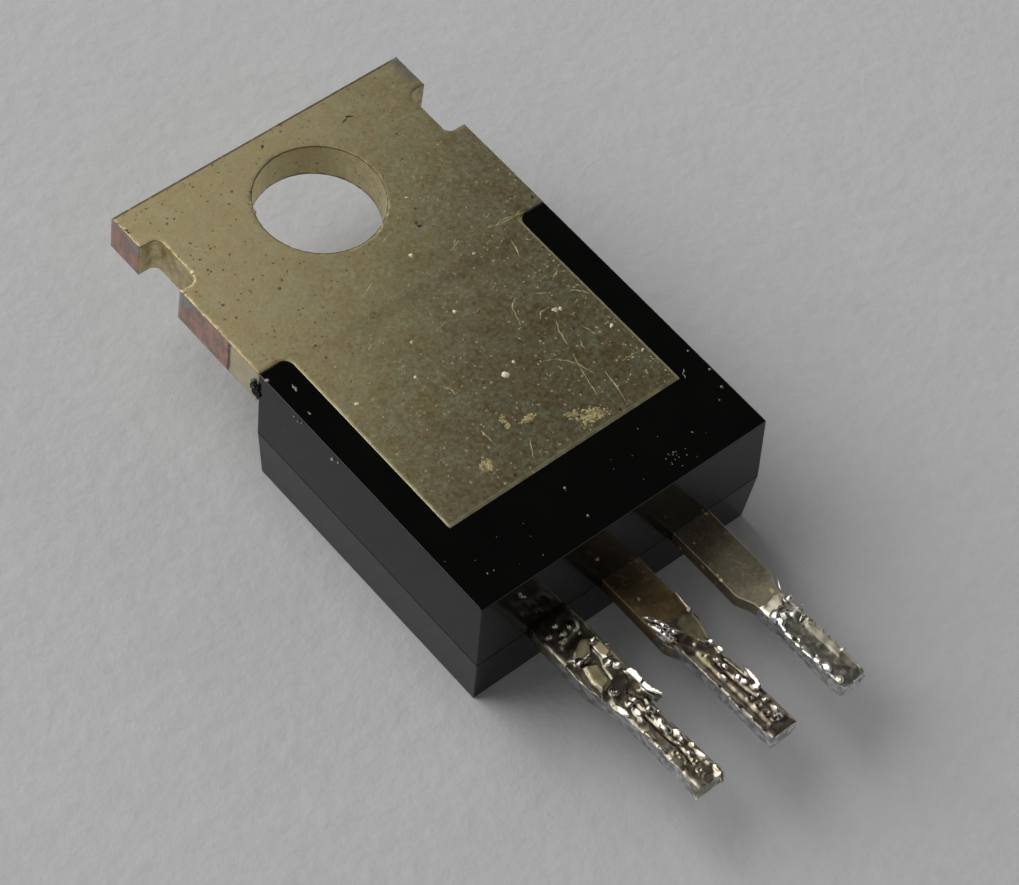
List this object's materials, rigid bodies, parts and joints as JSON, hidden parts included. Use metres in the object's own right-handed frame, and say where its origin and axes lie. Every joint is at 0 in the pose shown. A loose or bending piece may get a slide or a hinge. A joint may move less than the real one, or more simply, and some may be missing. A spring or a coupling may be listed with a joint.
{
  "type": "power transistor",
  "caption": "Through-hole power transistor: a black moulded body on a drilled metal tab, with short cut leads that still carry old solder.",
  "frame": {"origin": "centre of the mounting hole on the tab's back face", "axes": "+Y to the tab's free end, -Y to the leads' tips, +Z out of the back face"},
  "size_m": [0.01, 0.0221, 0.0042],
  "materials": {
    "plated_copper": "tarnished tin plating, scratched, bare copper on cut edges",
    "plated_lead": "tarnished tin plating",
    "epoxy": "moulded black epoxy, fine matt",
    "silicon": "polished",
    "inner_solder": "soft solder",
    "bond_wire": "drawn aluminium wire",
    "old_solder": "lumpy old solder, bright"
  },
  "bodies": {
    "root": {"tab_and_centre_lead": "plated_copper", "left_lead": "plated_lead", "right_lead": "plated_lead", "moulded_body": "epoxy", "chip": "silicon", "chip_solder": "inner_solder", "left_bond_wire": "bond_wire", "right_bond_wire_inner": "bond_wire", "right_bond_wire_outer": "bond_wire", "left_lead_solder": "old_solder", "centre_lead_solder": "old_solder", "right_lead_solder": "old_solder"}
  },
  "joints": []
}
